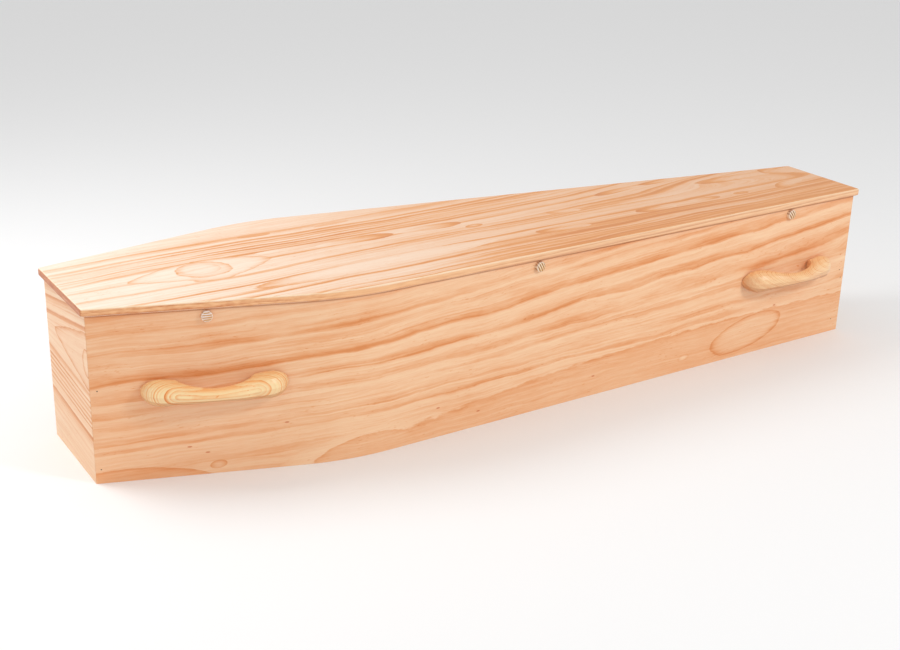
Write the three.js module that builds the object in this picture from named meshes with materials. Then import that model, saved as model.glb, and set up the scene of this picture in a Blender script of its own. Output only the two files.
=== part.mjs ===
// Wooden coffin: a six-sided pine box, wide at the shoulders, with a flat lid that lifts off,
// four carved bow handles and six round caps below the edge of the lid.
// Millimetres. +X runs from the head end to the foot end and +Z is up. The origin is at the
// height of the underside, below the middle of the box.
import * as THREE from 'three';

// Body, over the outside faces
const bodyLength = 1940;
const bodyHeight = 349;
const headWidth = 269;
const footWidth = 239;
// Width at the shoulders where the straight runs of the sides would cross, and its place
const shoulderWidth = 523;
const shoulderFromHead = 491;
const shoulderBendRadius = 546;

// Boards
const wallThickness = 16;
const baseThickness = 16;
const cornerRounding = 3;
const glueLine = 0.3;

// Lid
const lidThickness = 16;
const lidOverhang = 9;
const lidTopRounding = 4.5;
const lidUnderRounding = 3;
const lidCornerRounding = 7;

// Handles: a bow with a slim grip between two rounded lobes that stand on the side
const handleLength = 289;
const gripHeight = 24.5;
const lobeHeight = 52.5;
const lobeFromMiddle = 118;
const gripReach = 64.5;
const lobeReach = 45.5;
const fingerDepth = 37;
const fingerLength = 144;
const handleCentreHeight = 188;
const headHandleFromHead = 231;
const footHandleFromFoot = 218;

// Shape of the handle: exponents of its rounded outlines, where 2 is an ellipse
const fingerExponent = 0.4;
const frontExponent = 2.25;
const backExponent = 3.2;
// Share of the handle's thickness that lies behind its tallest line
const tallestLineShare = 0.35;
// Shares of the lobe's distance from the middle where its outline and its face start to turn in
const outlineTurnShare = 0.89;
const reachTurnShare = 0.74;

// Caps below the edge of the lid
const capDiameter = 22.5;
const capEdgeHeight = 6;
const capDomeHeight = 3.5;
const capDomeExponent = 2.5;
const capCentreBelowTop = 16;
const headCapFromHead = 221;
const middleCapFromHead = 960;
const footCapFromFoot = 221;

// Fineness of the rounded shapes
const bendSteps = 12;
const cornerSteps = 4;
const edgeSteps = 4;
const handleStations = 34;
const handleSectionSteps = 16;
const capSteps = 24;
const capDomeSteps = 6;

// Pine colours
const sidePine = 0xe9b384;
const endPine = 0xf2d3b3;
const lidPine = 0xf7dcb9;
const basePine = 0xe6bd92;
const handlePine = 0xf1c083;
const capWood = 0xd9c3a4;

const halfLength = bodyLength / 2;
const headSlope = (shoulderWidth - headWidth) / 2 / shoulderFromHead;
const footSlope = (footWidth - shoulderWidth) / 2 / (bodyLength - shoulderFromHead);

// Half width of the straight run from the head, moved outward by an offset
function headRun(x, offset) {
  return headWidth / 2 + headSlope * (x + halfLength) + offset * Math.hypot(1, headSlope);
}

// Half width of the straight run to the foot, moved outward by an offset
function footRun(x, offset) {
  return footWidth / 2 + footSlope * (x - halfLength) + offset * Math.hypot(1, footSlope);
}

// Place along the length where the two runs meet, both moved outward by an offset
function shoulderPlace(offset) {
  return (footRun(0, offset) - headRun(0, offset)) / (headSlope - footSlope);
}

// Head, shoulder and foot corners of one side, with the side and the ends moved outward
function sideCorners(sideOffset, endOffset) {
  const end = halfLength + endOffset;
  const shoulder = shoulderPlace(sideOffset);
  return [
    new THREE.Vector2(-end, headRun(-end, sideOffset)),
    new THREE.Vector2(shoulder, headRun(shoulder, sideOffset)),
    new THREE.Vector2(end, footRun(end, sideOffset)),
  ];
}

// Closed outline through the corners, each turned by an arc of its own radius
function roundedOutline(corners, radii, steps) {
  const points = [];
  corners.forEach((corner, index) => {
    if (radii[index] === 0) {
      points.push(corner.clone());
      return;
    }
    const before = corners[(index + corners.length - 1) % corners.length];
    const after = corners[(index + 1) % corners.length];
    const inDirection = corner.clone().sub(before).normalize();
    const outDirection = after.clone().sub(corner).normalize();
    const turn = Math.atan2(inDirection.cross(outDirection), inDirection.dot(outDirection));
    const tangent = radii[index] * Math.tan(Math.abs(turn) / 2);
    const start = corner.clone().addScaledVector(inDirection, -tangent);
    const towardCentre = new THREE.Vector2(-inDirection.y, inDirection.x).multiplyScalar(Math.sign(turn));
    const centre = start.clone().addScaledVector(towardCentre, radii[index]);
    for (let step = 0; step <= steps[index]; step += 1) {
      points.push(start.clone().rotateAround(centre, (turn * step) / steps[index]));
    }
  });
  return points;
}

// Whole six-sided outline, counter-clockwise from above
function fullOutline(sideOffset, endOffset, cornerRadius) {
  const left = sideCorners(sideOffset, endOffset);
  const right = left.map((corner) => new THREE.Vector2(corner.x, -corner.y));
  const bend = shoulderBendRadius + sideOffset;
  return roundedOutline(
    [...right, ...left.reverse()],
    [cornerRadius, bend, cornerRadius, cornerRadius, bend, cornerRadius],
    [cornerSteps, bendSteps, cornerSteps, cornerSteps, bendSteps, cornerSteps],
  );
}

// Flat board with square edges, from a plan outline
function board(outline, bottom, top) {
  const geometry = new THREE.ExtrudeGeometry(new THREE.Shape(outline), {
    depth: top - bottom,
    bevelEnabled: false,
    steps: 1,
  });
  geometry.translate(0, 0, bottom);
  return geometry;
}

// Closed skin over rings of equal count, each counter-clockwise as seen from beyond the last,
// with a fan from a centre point at either end
function loft(rings, startCentre, endCentre) {
  const count = rings[0].length;
  const vertices = [...rings.flat(), startCentre, endCentre];
  const startIndex = vertices.length - 2;
  const endIndex = vertices.length - 1;
  const lastRing = (rings.length - 1) * count;
  const triangles = [];
  for (let index = 0; index < count; index += 1) {
    const next = (index + 1) % count;
    triangles.push(startIndex, next, index);
    triangles.push(endIndex, lastRing + index, lastRing + next);
    for (let ring = 0; ring < rings.length - 1; ring += 1) {
      const low = ring * count;
      const high = low + count;
      triangles.push(low + index, low + next, high + next);
      triangles.push(low + index, high + next, high + index);
    }
  }
  const geometry = new THREE.BufferGeometry();
  geometry.setAttribute(
    'position',
    new THREE.Float32BufferAttribute(vertices.flatMap((vertex) => vertex.toArray()), 3),
  );
  geometry.setIndex(triangles);
  geometry.computeVertexNormals();
  return geometry;
}

// Base board, inside the sides and ends
function baseGeometry() {
  const inset = wallThickness + glueLine;
  return board(fullOutline(-inset, -inset, 0), 0, baseThickness);
}

// Left side board, one piece bent round the shoulder and mitred at both ends, where it runs to the
// middle of each rounded corner
function sideGeometry() {
  const outer = fullOutline(0, 0, cornerRounding);
  const inner = fullOutline(-wallThickness, -wallThickness, 0);
  const toMiddle = cornerSteps / 2;
  const outerHalf = outer.slice(outer.length / 2 + toMiddle, outer.length - toMiddle);
  const innerHalf = inner.slice(inner.length / 2);
  return board([...outerHalf, ...innerHalf.reverse()], 0, bodyHeight);
}

// End board, mitred to both sides with a glue line between, which sets it in from the side faces
function endGeometry(direction) {
  const inset = glueLine * Math.SQRT2;
  const outer = fullOutline(-inset, 0, cornerRounding);
  const inner = fullOutline(-inset - wallThickness, -wallThickness, 0);
  const toMiddle = cornerSteps / 2;
  const footStart = outer.length / 2 - 1 - toMiddle;
  const rightHalf = direction < 0
    ? [...outer.slice(0, toMiddle + 1), inner[0]]
    : [...outer.slice(footStart, outer.length / 2).reverse(), inner[inner.length / 2 - 1]];
  const leftHalf = rightHalf.map((point) => new THREE.Vector2(point.x, -point.y)).reverse();
  return board([...rightHalf, ...leftHalf], 0, bodyHeight);
}

// Lid with rounded upper and lower edges
function lidGeometry() {
  const levels = [];
  for (let step = 0; step <= edgeSteps; step += 1) {
    const angle = (Math.PI / 2) * (step / edgeSteps);
    levels.push({
      inset: lidUnderRounding * (1 - Math.sin(angle)),
      height: lidUnderRounding * (1 - Math.cos(angle)),
    });
  }
  for (let step = 0; step <= edgeSteps; step += 1) {
    const angle = (Math.PI / 2) * (step / edgeSteps);
    levels.push({
      inset: lidTopRounding * (1 - Math.cos(angle)),
      height: lidThickness - lidTopRounding * (1 - Math.sin(angle)),
    });
  }
  const rings = levels.map(({ inset, height }) => {
    const overhang = lidOverhang - inset;
    const outline = fullOutline(overhang, overhang, lidCornerRounding - inset);
    return outline.map((point) => new THREE.Vector3(point.x, point.y, height));
  });
  return loft(rings, new THREE.Vector3(0, 0, 0), new THREE.Vector3(0, 0, lidThickness));
}

// Signed power, for the rounded sections
function signedPower(value, power) {
  return Math.sign(value) * Math.abs(value) ** power;
}

// Falls from 1 at the start to 0 at the end along a quarter of an ellipse
function roundedFall(place, start, end) {
  const share = Math.min(Math.max((place - start) / (end - start), 0), 1);
  return Math.sqrt(1 - share ** 2);
}

// Half height, face and back of the handle at a distance from its middle
function handleProfile(place) {
  const half = handleLength / 2;
  const distance = Math.abs(place);
  const toLobe = 0.5 - 0.5 * Math.cos(Math.PI * Math.min(distance / lobeFromMiddle, 1));
  const height = gripHeight + (lobeHeight - gripHeight) * toLobe;
  const reach = gripReach + (lobeReach - gripReach) * toLobe;
  const fingerShare = Math.max(1 - (distance / (fingerLength / 2)) ** 2, 0);
  return {
    halfHeight: (height / 2) * roundedFall(distance, lobeFromMiddle * outlineTurnShare, half),
    face: reach * roundedFall(distance, lobeFromMiddle * reachTurnShare, half),
    back: fingerDepth * fingerShare ** fingerExponent,
  };
}

// One cross-section of the handle, in the plane across its length, facing -Y
function handleSection(place) {
  const { halfHeight, face, back } = handleProfile(place);
  const tallest = back + tallestLineShare * (face - back);
  const ring = [];
  for (let step = 0; step < handleSectionSteps; step += 1) {
    const angle = (2 * Math.PI * step) / handleSectionSteps;
    const forward = Math.cos(angle);
    const power = 2 / (forward > 0 ? frontExponent : backExponent);
    const span = forward > 0 ? face - tallest : tallest - back;
    const reach = tallest + span * signedPower(forward, power);
    const height = -halfHeight * signedPower(Math.sin(angle), power);
    ring.push(new THREE.Vector3(place, -reach, height));
  }
  return ring;
}

// Carved bow handle, its feet on the plane Y = 0
function handleGeometry() {
  const half = handleLength / 2;
  const rings = [];
  for (let station = 1; station < handleStations; station += 1) {
    rings.push(handleSection(-half * Math.cos((Math.PI * station) / handleStations)));
  }
  return loft(rings, new THREE.Vector3(-half, 0, 0), new THREE.Vector3(half, 0, 0));
}

// Round cap with a straight edge and a rounded dome, its back on the plane Y = 0 and its face to -Y
function capGeometry() {
  const radius = capDiameter / 2;
  const power = 2 / capDomeExponent;
  const profile = [new THREE.Vector2(0, 0), new THREE.Vector2(radius, 0)];
  for (let step = 0; step < capDomeSteps; step += 1) {
    const angle = (Math.PI / 2) * (step / capDomeSteps);
    profile.push(new THREE.Vector2(
      radius * Math.cos(angle) ** power,
      capEdgeHeight + capDomeHeight * Math.sin(angle) ** power,
    ));
  }
  profile.push(new THREE.Vector2(0, capEdgeHeight + capDomeHeight));
  return new THREE.LatheGeometry(profile, capSteps).rotateX(Math.PI);
}

// Half width and slope of the outer face of a side at a place along the length
function sideFace(x) {
  const shoulder = shoulderPlace(0);
  const bendAngle = Math.atan(headSlope) - Math.atan(footSlope);
  const tangent = shoulderBendRadius * Math.tan(bendAngle / 2);
  const bendStart = shoulder - tangent * Math.cos(Math.atan(headSlope));
  const bendEnd = shoulder + tangent * Math.cos(Math.atan(footSlope));
  if (x <= bendStart) {
    return { halfWidth: headRun(x, 0), slope: Math.atan(headSlope) };
  }
  if (x >= bendEnd) {
    return { halfWidth: footRun(x, 0), slope: Math.atan(footSlope) };
  }
  const centreX = bendStart + shoulderBendRadius * Math.sin(Math.atan(headSlope));
  const centreY = headRun(bendStart, 0) - shoulderBendRadius * Math.cos(Math.atan(headSlope));
  const along = (x - centreX) / shoulderBendRadius;
  return {
    halfWidth: centreY + shoulderBendRadius * Math.sqrt(1 - along ** 2),
    slope: -Math.asin(along),
  };
}

function pine(color, roughness) {
  return new THREE.MeshStandardMaterial({ color, roughness, metalness: 0 });
}

function named(name, geometry, material) {
  const mesh = new THREE.Mesh(geometry, material);
  mesh.name = name;
  return mesh;
}

// Puts a fitting on the outer face of a side, one glue line off it. A fitting faces -Y, and the
// right side of the coffin is its -Y side
function onSide(mesh, side, x, height) {
  const { halfWidth, slope } = sideFace(x);
  const holder = new THREE.Group();
  holder.position.set(x, side * halfWidth, height);
  holder.rotation.z = side < 0 ? -slope : Math.PI + slope;
  mesh.position.y = -glueLine;
  holder.add(mesh);
  return holder;
}

const coffin = new THREE.Group();

coffin.add(named('base_board', baseGeometry(), pine(basePine, 0.65)));
coffin.add(named('head_end_panel', endGeometry(-1), pine(endPine, 0.55)));
coffin.add(named('foot_end_panel', endGeometry(1), pine(endPine, 0.55)));

const lid = named('lid', lidGeometry(), pine(lidPine, 0.5));
lid.position.z = bodyHeight;
coffin.add(lid);

const handlePlaces = {
  head: -halfLength + headHandleFromHead,
  foot: halfLength - footHandleFromFoot,
};
const capPlaces = {
  head: -halfLength + headCapFromHead,
  middle: -halfLength + middleCapFromHead,
  foot: halfLength - footCapFromFoot,
};

for (const [sideName, side] of [['right', -1], ['left', 1]]) {
  const panel = named(`side_panel_${sideName}`, sideGeometry(), pine(sidePine, 0.55));
  if (side < 0) {
    panel.rotation.x = Math.PI;
    panel.position.z = bodyHeight;
  }
  coffin.add(panel);
  for (const [place, x] of Object.entries(handlePlaces)) {
    const handle = named(`handle_${sideName}_${place}`, handleGeometry(), pine(handlePine, 0.4));
    coffin.add(onSide(handle, side, x, handleCentreHeight));
  }
  for (const [place, x] of Object.entries(capPlaces)) {
    const cap = named(`cap_${sideName}_${place}`, capGeometry(), pine(capWood, 0.3));
    coffin.add(onSide(cap, side, x, bodyHeight - capCentreBelowTop));
  }
}

export default coffin;
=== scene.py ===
"""Wooden coffin: pale pine boards, carved handles and striped caps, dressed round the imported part.

Metres, in the row's frame: +X runs from the head end to the foot end, +Z is up, and the right side
of the coffin, which faces the camera, is its -Y side.
"""

import math

import bpy
from mathutils import Matrix, Vector


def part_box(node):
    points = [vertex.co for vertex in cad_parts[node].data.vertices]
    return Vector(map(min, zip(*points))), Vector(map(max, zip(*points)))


# Camera: angles in degrees, distances in metres
VIEW_AZIMUTH = -28.63
VIEW_ELEVATION = 22.95
VIEW_ROLL = 0.753
VIEW_DISTANCE = 3.3754
VIEW_CENTRE_HEIGHT = 0.2037
VIEW_SLIDE_RIGHT = 0.1986
VIEW_SLIDE_DOWN = -0.24
SENSOR_WIDTH = 36.0
LENS = 59.68
SHIFT_X = 50 / 900
SHIFT_Y = 75 / 900

# Studio
FLOOR_SIZE = 60.0
FLOOR_COLOUR = (0.93, 0.93, 0.93)
WORLD_COLOUR = (1.0, 1.0, 1.0)
WORLD_STRENGTH = 0.71
# Lights: name, place, what it aims at, width and power
LIGHTS = [
    ("overhead", (-1.7, 0.9, 2.2), (-0.6, 0.0, 0.35), 1.3, 26.0),
    ("left", (-4.4, 0.4, 1.5), (-0.97, 0.0, 0.2), 1.6, 12.0),
    ("front", (2.0, -3.4, 2.9), (0.1, 0.0, 0.15), 0.9, 49.0),
]


def srgb(red, green, blue):
    """A colour given in the usual 0 to 255 screen steps, as linear light."""
    def linear(step):
        share = step / 255
        return share / 12.92 if share <= 0.04045 else ((share + 0.055) / 1.055) ** 2.4
    return (linear(red), linear(green), linear(blue), 1.0)


# Woods: the colours of clear wood, of growth lines and of the darkest lines
SIDE_WOOD = (srgb(252, 214, 175), srgb(233, 156, 97), srgb(212, 124, 62))
LID_WOOD = (srgb(251, 238, 221), srgb(231, 158, 90), srgb(198, 108, 48))
END_WOOD = (srgb(243, 214, 181), srgb(221, 150, 92), srgb(198, 114, 56))
BASE_WOOD = (srgb(244, 204, 166), srgb(222, 150, 100), srgb(200, 122, 76))
RINGED_HANDLE_WOOD = (srgb(255, 232, 180), srgb(246, 156, 80), srgb(206, 112, 50))
STRIPED_HANDLE_WOOD = (srgb(254, 217, 168), srgb(226, 144, 86), srgb(206, 112, 50))
# Marks and shades of the side boards
SIDE_WARM = srgb(222, 132, 74)
SIDE_SHADE = srgb(164, 86, 38)
SIDE_FLECK = srgb(206, 92, 34)
BRAD_HOLE = srgb(70, 45, 30)
# Colours of the lid: its warmer tone towards the foot, which leaves the head pale as painted light; its
# long edges, with painted shade along their bottom; a painted highlight on its rounded upper edge; and
# its ends
LID_WARM = srgb(228, 154, 82)
EDGE_CLEAR = srgb(250, 196, 144)
EDGE_LINES = srgb(198, 102, 44)
EDGE_PALE = srgb(246, 208, 168)
EDGE_SHADE = srgb(170, 96, 50)
EDGE_PAINTED_HIGHLIGHT = srgb(255, 236, 202)
END_GRAIN = srgb(180, 94, 40)
# Colours of a handle: painted light where it faces up, darker end grain where it faces along itself, and
# painted shade where it faces down
HANDLE_TOP_PAINTED_LIGHT = srgb(255, 182, 100)
HANDLE_ENDS = srgb(200, 116, 58)
HANDLE_UNDERSIDE_PAINTED_SHADE = srgb(176, 96, 46)
# Golden colour of a cap, kept off its upper left, which stays pale as a painted highlight, and the pale
# rim of a cap, partly wear and partly a painted highlight
CAP_GOLD = srgb(214, 150, 66)
CAP_RIM_WEAR_AND_HIGHLIGHT = srgb(250, 238, 224)


class Field:
    """A number that changes over a surface. Sums and products of fields add nodes to the material."""

    def __init__(self, tree, socket):
        self.tree = tree
        self.socket = socket

    def reckon(self, operation, *others):
        node = self.tree.nodes.new("ShaderNodeMath")
        node.operation = operation
        for place, value in enumerate((self, *others)):
            if isinstance(value, Field):
                self.tree.links.new(value.socket, node.inputs[place])
            else:
                node.inputs[place].default_value = value
        return Field(self.tree, node.outputs[0])

    def __add__(self, other):
        return self.reckon("ADD", other)

    def __sub__(self, other):
        return self.reckon("SUBTRACT", other)

    def __mul__(self, other):
        return self.reckon("MULTIPLY", other)

    def __truediv__(self, other):
        return self.reckon("DIVIDE", other)

    def __pow__(self, other):
        return self.reckon("POWER", other)

    __radd__ = __add__

    def root(self):
        return self.reckon("SQRT")

    def share_of_turn(self):
        """What is left over whole numbers: rises from 0 to 1 and starts again."""
        return self.reckon("FRACT")

    def whole(self):
        return self.reckon("FLOOR")

    def fall(self):
        """1 where the field is 0, and falling away from it as a bell does."""
        return (self * -1.0).reckon("EXPONENT")

    def size(self):
        return self.reckon("ABSOLUTE")

    def least(self, other):
        return self.reckon("MINIMUM", other)

    def most(self, other):
        return self.reckon("MAXIMUM", other)

    def step(self, low, high):
        """Rises smoothly from 0 at low to 1 at high. It falls where low is the larger."""
        node = self.tree.nodes.new("ShaderNodeMapRange")
        node.interpolation_type = "SMOOTHSTEP"
        rising = high > low
        node.inputs["From Min"].default_value = low if rising else high
        node.inputs["From Max"].default_value = high if rising else low
        node.inputs["To Min"].default_value = 0.0 if rising else 1.0
        node.inputs["To Max"].default_value = 1.0 if rising else 0.0
        self.tree.links.new(self.socket, node.inputs["Value"])
        return Field(self.tree, node.outputs[0])


def combine(tree, x, y, z):
    """A vector socket from three fields or numbers."""
    node = tree.nodes.new("ShaderNodeCombineXYZ")
    for place, value in enumerate((x, y, z)):
        if isinstance(value, Field):
            tree.links.new(value.socket, node.inputs[place])
        else:
            node.inputs[place].default_value = value
    return node.outputs[0]


def cloud(tree, place, detail=2.0, rough=0.5):
    """Smooth random field, about -0.5 to 0.5, at a vector place."""
    node = tree.nodes.new("ShaderNodeTexNoise")
    node.inputs["Scale"].default_value = 1.0
    node.inputs["Detail"].default_value = detail
    node.inputs["Roughness"].default_value = rough
    tree.links.new(place, node.inputs["Vector"])
    return Field(tree, node.outputs["Fac"]) - 0.5


class Board:
    """A board's own directions: along its grain, across its face and through its thickness."""

    def __init__(self, tree, along, across, depth, seed):
        self.tree = tree
        self.along = along
        self.across = across
        self.depth = depth
        self.seed = seed

    def cloud(self, length, width, seed=0.0, detail=2.0, rough=0.5, thick=None):
        """Random field whose patches are length long and width wide, in metres."""
        place = combine(
            self.tree,
            self.along / length + (self.seed + seed),
            self.across / width,
            self.depth / (thick or width),
        )
        return cloud(self.tree, place, detail, rough)

    def bell(self, along, across, length, width):
        """1 at a spot of the board, falling to nothing at about length and width from it."""
        far = ((self.along - along) / length) ** 2.0 + ((self.across - across) / width) ** 2.0
        return far.fall()


def object_place(tree):
    """X, Y and Z of the surface point in the row's frame."""
    coordinates = tree.nodes.new("ShaderNodeTexCoord")
    parts = tree.nodes.new("ShaderNodeSeparateXYZ")
    tree.links.new(coordinates.outputs["Object"], parts.inputs[0])
    return [Field(tree, parts.outputs[axis]) for axis in range(3)]


def mix(tree, share, first, second):
    """First colour where share is 0 and second where it is 1. Each is a colour or a colour socket."""
    node = tree.nodes.new("ShaderNodeMix")
    node.data_type = "RGBA"
    tree.links.new(share.socket, node.inputs["Factor"])
    for name, colour in (("A", first), ("B", second)):
        socket = next(place for place in node.inputs if place.name == name and place.type == "RGBA")
        if isinstance(colour, bpy.types.NodeSocket):
            tree.links.new(colour, socket)
        else:
            socket.default_value = colour
    return next(place for place in node.outputs if place.type == "RGBA")


def new_material(name):
    material = bpy.data.materials.new(name)
    material.use_nodes = True
    return material, material.node_tree, material.node_tree.nodes["Principled BSDF"]


def finish_surface(tree, shader, colour, roughness, height, depth, coat=0.0, coat_roughness=0.25):
    """Links the colour, roughness and fine relief to the shader."""
    tree.links.new(colour, shader.inputs["Base Color"])
    tree.links.new(roughness.socket, shader.inputs["Roughness"])
    bump = tree.nodes.new("ShaderNodeBump")
    bump.inputs["Strength"].default_value = 1.0
    bump.inputs["Distance"].default_value = depth
    tree.links.new(height.socket, bump.inputs["Height"])
    tree.links.new(bump.outputs["Normal"], shader.inputs["Normal"])
    shader.inputs["Specular IOR Level"].default_value = 0.35
    shader.inputs["Coat Weight"].default_value = coat
    shader.inputs["Coat Roughness"].default_value = coat_roughness


def layers(tree, growth, span, stops):
    """How dark the wood is over its growth, from stops of growth and darkness within a span."""
    node = tree.nodes.new("ShaderNodeValToRGB")
    ramp = node.color_ramp
    ramp.interpolation = "EASE"
    while len(ramp.elements) < len(stops):
        ramp.elements.new(0.5)
    for element, (place, darkness) in zip(ramp.elements, stops):
        element.position = place / span
        element.color = (darkness, darkness, darkness, 1.0)
    tree.links.new((growth / span).socket, node.inputs["Fac"])
    return Field(tree, node.outputs["Color"])


def rings(board, growth, power=2.6, edge=0.965):
    """Growth rings that each darken to a sharp edge, some strong and most of them faint."""
    turn = growth.share_of_turn()
    saw = turn ** power * turn.step(1.0, edge)
    ring = growth.whole() * 0.713
    strength = cloud(board.tree, combine(board.tree, ring, board.along * 1.1, board.seed), 1.0)
    return saw * (strength * 3.4 + 0.55).most(0.08).least(1.5)


# Streaks that keep to the growth lines of planed pine: length, width, seed and detail
FIBRES = (0.42, 0.0075, 3.1, 3.0)
THREADS = (0.075, 0.0026, 7.7, 3.0)
CURLS = (0.030, 0.0050, 13.9, 2.0)
SHORT_FLECKS = (0.016, 0.0024, 17.9, 1.0)
# Patches of planed pine: length, width, seed, detail and roughness
BLOTCHES = (0.22, 0.05, 11.3, 3.0, 0.6)
FLECK_ZONES = (0.12, 0.03, 23.3, 1.0, 0.5)
# How much each of them darkens the wood, and how dark it is where its darkest colour sets in
FIBRE_SHARE = 0.46
THREAD_SHARE = 0.44
CURL_SHARE = 0.22
FLECK_SHARE = 0.48
DEEP_START = 0.62


def planed_pine(board, growth, dark, wood, grain=1.0, blush=0.5, calm=1.0):
    """Colour, roughness and relief of planed pine, from how dark its growth lines are. Its fibres
    keep to the growth lines, and are fainter where calm is low."""
    early, late, deep = wood
    fibres = follow(board, growth, *FIBRES)
    threads = follow(board, growth, *THREADS)
    curls = follow(board, growth, *CURLS)
    blotches = board.cloud(*BLOTCHES)
    flecks = follow(board, growth, *SHORT_FLECKS).step(0.14, 0.24)
    fleck_zones = board.cloud(*FLECK_ZONES).step(-0.05, 0.15)
    share = dark * (fibres * 1.2 + 1.0) + fibres * calm * (FIBRE_SHARE * grain)
    share = share + threads * (THREAD_SHARE * grain) + curls * (CURL_SHARE * grain)
    share = share + blotches * blush + flecks * fleck_zones * FLECK_SHARE
    colour = mix(board.tree, share.step(-0.25, 1.0), early, late)
    colour = mix(board.tree, (share - DEEP_START).most(0.0).least(1.0), colour, deep)
    roughness = 0.44 + fibres * 0.25
    relief = dark * -0.5 + fibres * 0.8 + threads * 0.5
    return colour, roughness, relief


def follow(board, growth, length, width, seed, detail):
    """Random streaks that keep to the growth lines."""
    start = board.seed + seed
    place = combine(board.tree, board.along / length + start, growth / width, board.depth / width)
    return cloud(board.tree, place, detail, 0.6)


def spots(board, places, length, width):
    """1 inside each small spot of the board and 0 outside."""
    total = None
    for along, across in places:
        far = ((board.along - along) / length) ** 2.0 + ((board.across - across) / width) ** 2.0
        spot = far.step(1.5, 0.5)
        total = spot if total is None else total + spot
    return total


# Narrowest that taper leaves an oval, the taper under which its narrow end fades, and how far lines
# are cleared and fibres fade inside a ring
LEAST_TAPER = 0.15
FADING_TAPER = 0.5
LINES_CLEARED = 0.85
FIBRES_FADED = 0.65


def islands(board, dark, shapes, line_width, ragged):
    """Adds closed growth rings to a board. Each clears the lines inside it, is filled with a
    darkness of its own and darkens to a line at its edge. A ring is one oval or several joined:
    place along and across, half length, half width, taper and tilt. Taper widens an oval towards
    one end, and a small one also fades the narrow end. The last oval of a ring sets its fade and
    the width of its line. Returns the darkness, and how strong the fibres stay."""
    torn = board.cloud(0.05, 0.02, 29.0, 4.0, 0.6) * ragged
    calm = None
    for fill, line, *ovals in shapes:
        nearest = None
        for along, across, half_length, half_width, taper, tilt in ovals:
            run = (board.along - along) / half_length
            rise = board.across - across - (board.along - along) * tilt
            reach = rise / (run * taper + 1.0).most(LEAST_TAPER) / half_width
            far = (run * run + reach * reach).root()
            nearest = far if nearest is None else nearest.least(far)
        far = nearest + torn
        inside = far.step(1.0, 0.96)
        fades = 0.0 < abs(taper) < FADING_TAPER
        fade = run * math.copysign(0.5, taper) + 0.5 if fades else 1.0
        sharpness = math.log(0.5) / math.log(1.0 - min(0.4, line_width / half_width))
        dark = dark * (inside * -LINES_CLEARED + 1.0)
        dark = dark + inside * fade * (far ** sharpness * line + fill)
        calm = inside if calm is None else calm.most(inside)
    return dark, calm * -FIBRES_FADED + 1.0


# Heights on the side board, at its bend, of the darkening and the clear wood between, in metres
SIDE_SPAN = 0.40
SIDE_LAYERS = [
    (0.000, 0.34), (0.036, 0.30), (0.040, 0.12), (0.044, 0.44), (0.062, 0.22), (0.087, 0.12),
    (0.091, 0.46), (0.106, 0.18), (0.110, 0.50), (0.126, 0.24), (0.138, 0.10), (0.143, 0.48),
    (0.160, 0.14), (0.165, 0.70), (0.184, 0.26), (0.191, 0.14), (0.196, 0.72), (0.214, 0.24),
    (0.226, 0.14), (0.233, 0.80), (0.252, 0.36), (0.263, 0.20), (0.269, 0.48), (0.279, 0.26),
    (0.288, 0.66), (0.308, 0.36), (0.326, 0.26), (0.334, 0.50), (0.352, 0.30), (0.372, 0.50),
    (0.390, 0.35),
]
# Closed rings on the side board: how dark inside and at the edge, then the ovals
SIDE_ISLANDS = [
    (0.06, 0.34, (-0.380, -0.020, 0.255, 0.088, 0.00, 0.02)),
    (0.36, 0.52, (0.550, -0.020, 1.150, 0.124, 0.00, 0.02), (-0.420, -0.020, 0.140, 0.068, 0.00, 0.00)),
    (0.46, 0.45, (-0.880, -0.012, 0.155, 0.038, 0.00, -0.05)),
    (0.20, 0.85, (0.640, 0.056, 0.118, 0.041, 0.00, 0.16)),
    (0.15, 0.60, (-0.737, 0.019, 0.017, 0.009, 0.00, 0.10)),
    (-0.05, 0.60, (0.438, 0.032, 0.018, 0.008, 0.00, 0.10)),
]
# Height where the shade below the lid starts on the side boards, and where it is full
SHADE_START = 0.3430
SHADE_FULL = 0.3452
# Dark flecks on the side board, along it and up, and half their length and height
SIDE_FLECKS = [
    (-0.603, 0.097), (-0.263, 0.066), (-0.158, 0.035), (0.161, 0.046),
    (0.729, 0.109), (-0.791, 0.062), (-0.757, 0.047),
]
FLECK_LENGTH = 0.0045
FLECK_HEIGHT = 0.0016
# Brad holes at its ends and their radius
BRAD_HOLES = [(-0.9565, 0.195), (-0.959, 0.030), (0.953, 0.160), (0.9595, 0.139), (0.944, 0.032)]
BRAD_RADIUS = 0.0012
# Where a side board bends, and how steeply its growth lines climb on either side of the bend
SIDE_BEND = -0.5
HEAD_CLIMB = 0.067
FOOT_CLIMB = 0.017
UPPER_FOOT_CLIMB = 0.054
# How far its growth lines sway and ripple
SIDE_SWAY = 0.024
SIDE_RIPPLE = 0.011
# Spacing of its fine rings, width of the lines round its closed rings and how ragged they are
SIDE_FINE_RING = 0.0062
SIDE_LINE_WIDTH = 0.0030
SIDE_RAGGED = 0.16
# Where the wood starts to warm towards the head, and where it is warmest
WARM_START = -0.50
WARM_FULL = -0.90


def side_growth(board):
    """Height that the growth lines of a side board keep to: they climb towards the foot end, the
    upper ones more than the lower ones."""
    past_bend = board.along - SIDE_BEND
    head_climb = past_bend.least(0.0) * HEAD_CLIMB
    steepness = board.across.step(0.10, 0.31) * UPPER_FOOT_CLIMB + FOOT_CLIMB
    foot_climb = past_bend.most(0.0) * steepness
    sway = board.cloud(0.34, 0.16, 1.0, 2.0, 0.5) * SIDE_SWAY
    ripple = board.cloud(0.10, 0.035, 2.0, 3.0, 0.55) * SIDE_RIPPLE
    return board.across - head_climb - foot_climb - sway - ripple


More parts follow.
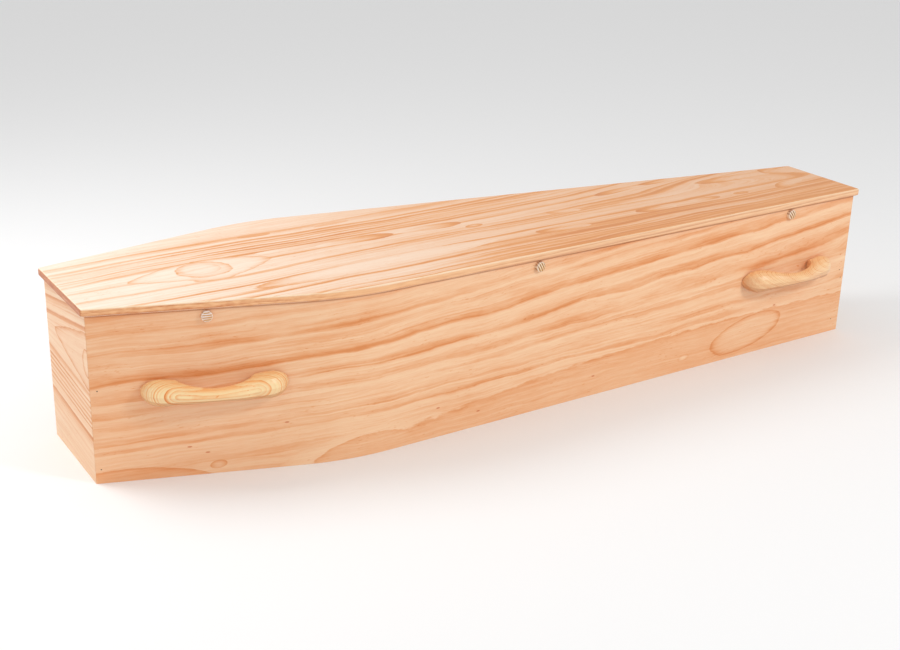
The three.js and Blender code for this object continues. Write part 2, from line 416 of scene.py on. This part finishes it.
def side_pine(name, near):
    """Side board: soft wide bands above, lighter with thin sharp lines below. Its face bends and
    tapers, so the lines run straight through its thickness."""
    material, tree, shader = new_material(name)
    x, _, z = object_place(tree)
    board = Board(tree, x, z, 0.0, 4.0 if near else 91.0)
    growth = side_growth(board)
    torn = follow(board, growth, 0.45, 0.010, 41.0, 3.0) * 0.007
    frayed = follow(board, growth, 0.10, 0.008, 43.0, 3.0) * 0.006
    dark = layers(tree, growth + torn + frayed, SIDE_SPAN, SIDE_LAYERS)
    wide_patches = board.cloud(0.34, 0.06, 9.0, 2.0, 0.5) * 1.6
    small_patches = board.cloud(0.12, 0.030, 15.0, 3.0, 0.6) * 1.4
    dark = dark * (wide_patches + small_patches + 0.84).most(0.1)
    fine_zones = board.cloud(0.5, 0.06, 13.0).step(-0.2, 0.25)
    dark = dark + rings(board, growth / SIDE_FINE_RING, 1.4, 0.88) * fine_zones * 0.30
    calm = 1.0
    if near:
        dark, calm = islands(board, dark, SIDE_ISLANDS, SIDE_LINE_WIDTH, SIDE_RAGGED)
    colour, roughness, relief = planed_pine(board, growth, dark, SIDE_WOOD, 1.15, 0.36, calm)
    colour = mix(tree, x.step(WARM_START, WARM_FULL) * 0.15, colour, SIDE_WARM)
    colour = mix(tree, z.step(SHADE_START, SHADE_FULL) * 0.55, colour, SIDE_SHADE)
    if near:
        flecks = spots(board, SIDE_FLECKS, FLECK_LENGTH, FLECK_HEIGHT)
        colour = mix(tree, flecks * 0.7, colour, SIDE_FLECK)
        holes = spots(board, BRAD_HOLES, BRAD_RADIUS, BRAD_RADIUS)
        colour = mix(tree, holes, colour, BRAD_HOLE)
        relief = relief - holes * 4.0
    finish_surface(tree, shader, colour, roughness, relief, 0.00018, coat=0.08)
    return material


# Distances across the lid, from its slanting middle line plus its reach, of the darkening and the
# clear wood between
LID_REACH = 0.30
LID_SLANT = 0.105
LID_LAYERS = [
    (0.000, 0.30), (0.080, 0.14), (0.084, 0.62), (0.091, 0.18), (0.101, 0.14), (0.105, 0.60),
    (0.112, 0.18), (0.148, 0.10), (0.154, 0.62), (0.164, 0.16), (0.177, 0.10), (0.183, 0.50),
    (0.191, 0.12), (0.219, 0.08), (0.227, 0.62), (0.237, 0.12), (0.286, 0.08), (0.293, 0.56),
    (0.303, 0.10), (0.344, 0.10), (0.353, 0.46), (0.362, 0.12), (0.381, 0.10), (0.390, 0.66),
    (0.398, 0.18), (0.448, 0.16), (0.457, 0.60), (0.466, 0.16), (0.475, 0.58), (0.484, 0.08),
    (0.514, 0.42), (0.524, 0.10),
]
# Closed rings on the lid, as for the side board
LID_ISLANDS = [
    (0.04, 0.80, (-0.640, -0.020, 0.108, 0.062, -0.50, 0.16), (-0.745, -0.022, 0.108, 0.048, 0.55, 0.12)),
    (0.14, 0.70, (-0.686, -0.018, 0.060, 0.050, 0.00, 0.00)),
    (0.10, 0.34, (-0.692, -0.014, 0.045, 0.036, 0.00, 0.00)),
    (0.60, 0.10, (-0.420, 0.036, 0.130, 0.012, 0.20, 0.02)),
    (0.80, 0.60, (-0.325, 0.030, 0.098, 0.019, 0.40, 0.06)),
    (0.56, 0.80, (-0.135, 0.042, 0.086, 0.017, 0.30, 0.05)),
    (0.35, 0.65, (-0.035, 0.012, 0.024, 0.010, 0.00, 0.10)),
    (0.65, 0.05, (-0.502, 0.156, 0.040, 0.011, 0.00, 0.00)),
    (0.50, 0.10, (-0.314, 0.163, 0.048, 0.007, 0.00, 0.15)),
    (0.06, 0.85, (-0.340, -0.135, 0.300, 0.034, -0.10, 0.12)),
    (0.42, 0.90, (0.135, -0.094, 0.076, 0.014, -0.20, 0.00)),
    (0.36, 0.60, (0.210, 0.022, 0.046, 0.012, -0.10, -0.10)),
    (0.62, 0.90, (0.418, -0.053, 0.062, 0.016, -0.10, 0.02)),
    (0.70, 0.80, (0.430, 0.118, 0.078, 0.014, -0.20, 0.20)),
    (0.64, 0.70, (0.570, 0.143, 0.062, 0.012, -0.10, 0.10)),
    (0.56, 0.60, (0.575, -0.034, 0.046, 0.011, 0.10, 0.00)),
    (0.45, 0.45, (0.690, -0.029, 0.024, 0.009, 0.00, 0.00)),
    (0.24, 1.10, (0.780, 0.092, 0.136, 0.021, -0.20, 0.03)),
    (0.46, 0.90, (0.910, 0.096, 0.046, 0.027, -0.20, -0.30)),
    (0.26, 1.00, (0.860, -0.008, 0.056, 0.021, -0.30, 0.30)),
]
# Middle of the lid's oval ring, the distance across from it where the lines part most, and the
# length and width of the area where they part
OVAL_ALONG = -0.69
OVAL_ACROSS = -0.015
PARTING_REACH = 0.06
PARTING_LENGTH = 0.22
PARTING_WIDTH = 0.30
# Where the lid's lines start to fan out, how much, and how far they sway and ripple
FAN_START = 0.25
FAN_SLANT = 0.14
LID_SWAY = 0.032
LID_RIPPLE = 0.008
# Spacing of the lid's stripes, of the closer ones near its foot and of its fine rings
STRIPE_GAP = 0.0135
FOOT_STRIPE_GAP = 0.0086
LID_FINE_RING = 0.0056
# Width of the lines round the lid's closed rings, and how ragged they are
LID_LINE_WIDTH = 0.0045
LID_RAGGED = 0.30
# Thickness of a growth layer that shows in the lid's long edges
EDGE_RING = 0.0078


def lid_growth(board):
    """Distance across the lid that its growth lines keep to. They slant, fan out towards the far
    foot corner and part round the oval ring."""
    fan = (board.along - FAN_START).most(0.0) * board.across.step(0.02, 0.12) * FAN_SLANT
    beyond = board.across - OVAL_ACROSS
    near_oval = board.bell(OVAL_ALONG, OVAL_ACROSS, PARTING_LENGTH, PARTING_WIDTH)
    parting = beyond / ((beyond / PARTING_REACH) ** 2.0 + 1.0) * near_oval * 0.5
    sway = board.cloud(0.38, 0.12, 2.0, 2.0, 0.45) * LID_SWAY
    ripple = board.cloud(0.10, 0.03, 6.0, 3.0, 0.55) * LID_RIPPLE
    return board.across - board.along * LID_SLANT - fan - parting - sway - ripple


def facing(tree):
    """X, Y and Z of the direction that the surface faces."""
    geometry = tree.nodes.new("ShaderNodeNewGeometry")
    parts = tree.nodes.new("ShaderNodeSeparateXYZ")
    tree.links.new(geometry.outputs["Normal"], parts.inputs[0])
    return [Field(tree, parts.outputs[axis]) for axis in range(3)]


def lid_stripes(growth, x):
    """How strong the stripes of the lid are, and how strong those near its foot are alone."""
    head_stripes = growth.step(0.090, 0.102) * growth.step(0.156, 0.146) * x.step(0.5, 0.0)
    middle_stripes = growth.step(-0.045, -0.025) * growth.step(0.020, 0.005) * x.step(-0.5, -0.35)
    foot_stripes = growth.step(-0.085, -0.115) * x.step(-0.3, 0.05)
    return (head_stripes + middle_stripes + foot_stripes + 0.16).least(1.0), foot_stripes


def lid_edge(board, x):
    """Colour of the lid's long edges: straight layers, paler towards the foot, dark at the bottom."""
    edge_growth = board.depth / EDGE_RING + x * 2.2 + board.cloud(0.40, 0.03, 51.0) * 1.0
    edge_dark = rings(board, edge_growth, 1.8, 0.9) * 1.2 + board.cloud(0.50, 0.004, 53.0, 2.0) * 0.9
    colour = mix(board.tree, edge_dark.step(-0.25, 0.9), EDGE_CLEAR, EDGE_LINES)
    colour = mix(board.tree, x.step(-0.60, 0.20) * 0.50, colour, EDGE_PALE)
    return mix(board.tree, board.depth.step(0.012, 0.0155) * 0.40, colour, EDGE_SHADE)


def lid_pine(top):
    """Lid: cream near the head, warming towards the foot, which paints the light on the head. Its long
    edges show straight lines and its ends the darker end grain."""
    material, tree, shader = new_material("lid_pine")
    x, y, z = object_place(tree)
    board = Board(tree, x, y, z * -1.0 + top, 33.0)
    growth = lid_growth(board)
    torn = follow(board, growth, 0.25, 0.010, 41.0, 3.0) * 0.006
    dark = layers(tree, growth + torn + LID_REACH, LID_REACH * 2, LID_LAYERS)
    uneven = board.cloud(0.30, 0.05, 9.0, 2.0, 0.5)
    dark = dark * (uneven * 2.0 + 1.45)
    stripes, foot_stripes = lid_stripes(growth, x)
    dark = dark + rings(board, growth / STRIPE_GAP, 1.3, 0.85) * stripes * 1.05
    dark = dark + rings(board, growth / FOOT_STRIPE_GAP, 1.3, 0.85) * foot_stripes * 0.75
    fine_zones = board.cloud(0.40, 0.05, 61.0).step(-0.15, 0.20)
    dark = dark + rings(board, growth / LID_FINE_RING, 1.4, 0.85) * fine_zones * 0.26
    dark = dark * (x.step(-1.02, -0.50) * 0.46 + 0.54)
    dark, calm = islands(board, dark, LID_ISLANDS, LID_LINE_WIDTH, LID_RAGGED)
    dark = dark * (x.step(-0.30, 0.60) * 0.25 + 1.0)
    colour, roughness, relief = planed_pine(board, growth, dark, LID_WOOD, 1.2, 0.20, calm)
    # Painted light: the lid warms and darkens towards its foot, so its head stays pale as if lit more
    painted_light_falloff = x.step(-1.00, 0.30) * 0.48 + x.step(0.20, 0.90) * 0.10
    colour = mix(tree, painted_light_falloff, colour, LID_WARM)
    toward_x, _, toward_z = facing(tree)
    edge = toward_z.size().step(0.80, 0.30)
    colour = mix(tree, edge, colour, lid_edge(board, x))
    # Painted highlight: paler where the rounded upper edge turns from the top towards the sides
    painted_highlight = toward_z.step(0.45, 0.65) * toward_z.step(0.97, 0.85)
    colour = mix(tree, painted_highlight * 0.6, colour, EDGE_PAINTED_HIGHLIGHT)
    end_patches = cloud(tree, combine(tree, y / 0.03, board.depth / 0.006, 7.0), 2.0)
    end_grain = toward_x.size().step(0.6, 0.9) * (end_patches * 0.9 + 0.82).least(1.0)
    colour = mix(tree, end_grain, colour, END_GRAIN)
    finish_surface(tree, shader, colour, roughness, relief, 0.00015, coat=0.1)
    return material


# Heights on the head end board of the darkening and the clear wood between
END_SPAN = 0.40
END_LAYERS = [
    (0.000, 0.14), (0.080, 0.16), (0.096, 0.34), (0.106, 0.72), (0.109, 0.08), (0.124, 0.18),
    (0.128, 0.60), (0.131, 0.10), (0.139, 0.50), (0.142, 0.08), (0.149, 0.40), (0.152, 0.08),
    (0.161, 0.55), (0.164, 0.08), (0.171, 0.42), (0.174, 0.08), (0.181, 0.55), (0.184, 0.08),
    (0.199, 0.50), (0.203, 0.12), (0.240, 0.16), (0.290, 0.20), (0.302, 0.62), (0.306, 0.10),
    (0.328, 0.30), (0.333, 0.58), (0.337, 0.10), (0.360, 0.40),
]
# Spacing of its fine rings, width of the lines round its closed rings and how ragged they are
END_FINE_RING = 0.0055
END_LINE_WIDTH = 0.0040
END_RAGGED = 0.24
# The smooth triangle on the head end board, with its point towards the left side, and a small ring
END_ISLANDS = [
    (0.16, 0.62, (-0.130, 0.254, 0.213, 0.060, -0.60, 0.00)),
    (0.10, 0.55, (-0.130, 0.250, 0.027, 0.030, 0.00, 0.00)),
]


def end_growth(board):
    """Height that the growth lines of an end board keep to. They fall away above and below."""
    rising = board.across.step(0.20, 0.28)
    ripple = board.cloud(0.05, 0.02, 5.0, 3.0, 0.55) * 0.004
    return board.across + board.along * (rising * 0.235 - 0.065) - ripple


def end_pine(name, near):
    """End board, with its grain running across the coffin."""
    material, tree, shader = new_material(name)
    _, y, z = object_place(tree)
    board = Board(tree, y, z, 0.0, 12.0 if near else 57.0)
    growth = end_growth(board)
    dark = layers(tree, growth, END_SPAN, END_LAYERS)
    dark = dark + rings(board, growth / END_FINE_RING, 1.5, 0.9) * 0.16
    calm = 1.0
    if near:
        dark, calm = islands(board, dark, END_ISLANDS, END_LINE_WIDTH, END_RAGGED)
    colour, roughness, relief = planed_pine(board, growth, dark * 1.45, END_WOOD, 0.7, 0.24, calm)
    finish_surface(tree, shader, colour, roughness, relief, 0.00018, coat=0.08)
    return material


# Spacing of the base board's rings, and how far to one side of and below it their middle lies
BASE_RING = 0.009
BASE_PITH_ACROSS = 0.05
BASE_PITH_BELOW = 0.09


def base_pine():
    """Base board: plain straight grain."""
    material, tree, shader = new_material("base_pine")
    x, y, z = object_place(tree)
    board = Board(tree, x, y, z, 71.0)
    across = y - BASE_PITH_ACROSS - board.cloud(0.5, 0.2, 2.0) * 0.05
    far = (across * across + (z + BASE_PITH_BELOW) ** 2.0).root()
    growth = far + board.cloud(0.06, 0.02, 5.0, 4.0) * 0.004
    dark = rings(board, growth / BASE_RING)
    colour, roughness, relief = planed_pine(board, growth, dark, BASE_WOOD, 1.1)
    finish_surface(tree, shader, colour, roughness, relief, 0.0002)
    return material


# Along a handle from its middle to the middle of the rings on each lobe, how high that is above the
# handle's middle, the most that the growth rises between the lobes, and the depth under which it
# rises towards the board
RING_MIDDLE = 0.074
RING_HEIGHT = 0.002
RING_RISE = 0.003
RING_DEPTH = 0.036
# Spacing of the rings and of the stripes of a handle
HANDLE_RING_GAP = 0.0042
HANDLE_STRIPE_GAP = 0.0021


def handle_pine(node, obj, seed, ringed):
    """Carved handle. A ringed one is sawn flat, so its rings run round both lobes. Any other is
    sawn upright and has fine slanting stripes."""
    material, tree, shader = new_material(f"handle_pine_{node}")
    points = [vertex.co for vertex in obj.data.vertices]
    start = min(points, key=lambda point: point.x)
    end = max(points, key=lambda point: point.x)
    low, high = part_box(node)
    middle = (start + end) / 2
    angle = math.atan2(end.y - start.y, end.x - start.x)
    outward = -1.0 if middle.y < 0 else 1.0
    x, y, z = object_place(tree)
    dx = x - middle.x
    dy = y - middle.y
    along = dx * math.cos(angle) + dy * math.sin(angle)
    depth = (dy * math.cos(angle) - dx * math.sin(angle)) * outward
    height = z - (low.z + high.z) / 2
    board = Board(tree, along, height, depth, seed)
    bow = board.cloud(0.10, 0.05, 1.0, 2.0) * 0.003
    if ringed:
        past_ring = along.size() - RING_MIDDLE
        stretch = past_ring.most(0.0) * 0.42 + (past_ring * -0.07).most(0.0).least(RING_RISE)
        lift = (height - RING_HEIGHT) * 0.65
        growth = (stretch * stretch + lift * lift).root() + bow
        growth = growth + (depth * -1.0 + RING_DEPTH).most(0.0) * 0.7
        dark = rings(board, growth / HANDLE_RING_GAP, 1.6, 0.88)
        wood = RINGED_HANDLE_WOOD
    else:
        growth = height * 0.8 + along * 0.36 + depth * 0.45 + bow
        dark = rings(board, growth / HANDLE_STRIPE_GAP, 1.6, 0.88) * 0.85
        wood = STRIPED_HANDLE_WOOD
    colour, roughness, relief = planed_pine(board, growth, dark, wood, 0.5, 0.3)
    toward_x, toward_y, toward_z = facing(tree)
    toward_end = (toward_x * math.cos(angle) + toward_y * math.sin(angle)).size()
    # Painted light: more orange where the handle faces up
    colour = mix(tree, toward_z.step(0.25, 1.0) * 0.26, colour, HANDLE_TOP_PAINTED_LIGHT)
    colour = mix(tree, toward_end.step(0.40, 1.0) * 0.36, colour, HANDLE_ENDS)
    # Painted shade: darker where the handle faces down
    colour = mix(tree, toward_z.step(0.10, -0.70) * 0.55, colour, HANDLE_UNDERSIDE_PAINTED_SHADE)
    roughness = roughness - 0.06
    finish_surface(tree, shader, colour, roughness, relief, 0.00012, coat=0.14, coat_roughness=0.35)
    return material


# Turn of the side board under each cap, slant of the cap's stripes and their width, and its pale
# and striped colours
CAPS = [
    ("head", 0.253, 0.05, 0.0046, srgb(240, 226, 220), srgb(204, 142, 74)),
    ("middle", -0.098, -1.10, 0.0052, srgb(246, 222, 186), srgb(164, 104, 44)),
    ("foot", -0.098, -1.00, 0.0056, srgb(246, 220, 186), srgb(156, 96, 44)),
]


def cap_wood(node, obj, seed, turn, slant, width, pale, stripes):
    """Cap: polished pale wood with golden stripes, paler towards its upper left as a painted highlight,
    and pale round the rim of its face, partly wear and partly a painted highlight.
    """
    material, tree, shader = new_material(f"cap_wood_{node}")
    points = [vertex.co for vertex in obj.data.vertices]
    centre = sum(points, Vector()) / len(points)
    radius = max(point.z for point in points) - centre.z
    turn = turn if centre.y > 0 else -turn
    x, y, z = object_place(tree)
    level = (x - centre.x) * math.cos(turn) + (y - centre.y) * math.sin(turn)
    height = z - centre.z
    across = height * math.cos(slant) - level * math.sin(slant)
    along = level * math.cos(slant) + height * math.sin(slant)
    board = Board(tree, along, across, y - centre.y, seed)
    stripe = across / width + board.cloud(0.02, 0.010, 1.0) * 0.3
    share = stripe.share_of_turn()
    dark = share.step(0.30, 0.60) * share.step(1.0, 0.88)
    fibres = board.cloud(0.02, 0.0006, 3.0, 2.0)
    colour = mix(tree, (dark * 1.1 + fibres * 0.4).step(0.0, 1.1), pale, stripes)
    # Painted highlight: golden towards the lower right, so the upper left stays pale as if lit
    golden = (level * 0.6 - height * 0.8) / radius
    colour = mix(tree, golden.step(-0.5, 0.8) * 0.55, colour, CAP_GOLD)
    rim = (level * level + height * height).root() / radius
    # Pale rim of the face: partly wear and partly a painted highlight
    colour = mix(tree, rim.step(0.80, 0.90) * rim.step(1.0, 0.985) * 0.6, colour, CAP_RIM_WEAR_AND_HIGHLIGHT)
    relief = fibres * 0.5 - dark * 0.3
    roughness = fibres * 0.1 + 0.3
    finish_surface(tree, shader, colour, roughness, relief, 0.00008, coat=0.6, coat_roughness=0.12)
    return material


def put(obj, material):
    """Gives a CAD node its finish."""
    obj.data.materials.clear()
    obj.data.materials.append(material)


def dress(nodes):
    """Finishes for every node."""
    put(nodes["side_panel_right"], side_pine("side_pine_right", True))
    put(nodes["side_panel_left"], side_pine("side_pine_left", False))
    put(nodes["lid"], lid_pine(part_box("lid")[1].z))
    put(nodes["head_end_panel"], end_pine("end_pine_head", True))
    put(nodes["foot_end_panel"], end_pine("end_pine_foot", False))
    put(nodes["base_board"], base_pine())
    for count, side in enumerate(("right", "left")):
        for order, place in enumerate(("head", "foot")):
            name = f"handle_{side}_{place}"
            put(nodes[name], handle_pine(name, nodes[name], 10.0 * count + 3.7 * order, place == "head"))
        for order, (place, *looks) in enumerate(CAPS):
            name = f"cap_{side}_{place}"
            put(nodes[name], cap_wood(name, nodes[name], 20.0 * count + 5.3 * order, *looks))


def build_camera():
    """Camera at the viewing angle of the reference."""
    azimuth = math.radians(VIEW_AZIMUTH)
    elevation = math.radians(VIEW_ELEVATION)
    roll = math.radians(VIEW_ROLL)
    back = Vector((
        math.sin(azimuth) * math.cos(elevation),
        -math.cos(azimuth) * math.cos(elevation),
        math.sin(elevation),
    ))
    level_right = Vector((math.cos(azimuth), math.sin(azimuth), 0.0))
    level_up = back.cross(level_right)
    right = level_right * math.cos(roll) + level_up * math.sin(roll)
    up = level_up * math.cos(roll) - level_right * math.sin(roll)
    data = bpy.data.cameras.new("camera")
    data.sensor_width = SENSOR_WIDTH
    data.lens = LENS
    data.shift_x = SHIFT_X
    data.shift_y = SHIFT_Y
    data.clip_end = 200.0
    camera = bpy.data.objects.new("camera", data)
    place = Vector((0.0, 0.0, VIEW_CENTRE_HEIGHT)) + back * VIEW_DISTANCE
    place = place - right * VIEW_SLIDE_RIGHT + up * VIEW_SLIDE_DOWN
    turn = Matrix((right, up, back)).transposed()
    camera.matrix_world = Matrix.Translation(place) @ turn.to_4x4()
    bpy.context.scene.collection.objects.link(camera)
    bpy.context.scene.camera = camera


def area_light(name, place, aim, size, power):
    """Round white light turned towards what it aims at."""
    data = bpy.data.lights.new(name, "AREA")
    data.shape = "DISK"
    data.size = size
    data.energy = power
    light = bpy.data.objects.new(name, data)
    light.location = place
    light.rotation_euler = (Vector(aim) - Vector(place)).to_track_quat("-Z", "Y").to_euler()
    bpy.context.scene.collection.objects.link(light)


def build_studio():
    """Pale floor, white surroundings and soft lights."""
    bpy.ops.mesh.primitive_plane_add(size=FLOOR_SIZE)
    floor = bpy.context.object
    floor.name = "floor"
    material, _, shader = new_material("floor_paper")
    shader.inputs["Base Color"].default_value = (*FLOOR_COLOUR, 1.0)
    shader.inputs["Roughness"].default_value = 0.9
    floor.data.materials.append(material)
    world = bpy.data.worlds.new("studio")
    world.use_nodes = True
    background = world.node_tree.nodes["Background"]
    background.inputs["Color"].default_value = (*WORLD_COLOUR, 1.0)
    background.inputs["Strength"].default_value = WORLD_STRENGTH
    bpy.context.scene.world = world
    for light in LIGHTS:
        area_light(*light)


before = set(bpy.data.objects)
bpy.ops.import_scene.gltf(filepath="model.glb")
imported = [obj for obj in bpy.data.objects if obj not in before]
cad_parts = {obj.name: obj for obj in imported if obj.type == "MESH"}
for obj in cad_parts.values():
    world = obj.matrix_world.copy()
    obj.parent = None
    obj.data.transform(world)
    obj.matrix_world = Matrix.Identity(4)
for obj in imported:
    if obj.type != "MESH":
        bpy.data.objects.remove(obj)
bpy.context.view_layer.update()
dress(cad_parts)
build_camera()
build_studio()
bpy.context.scene.view_settings.view_transform = "Standard"
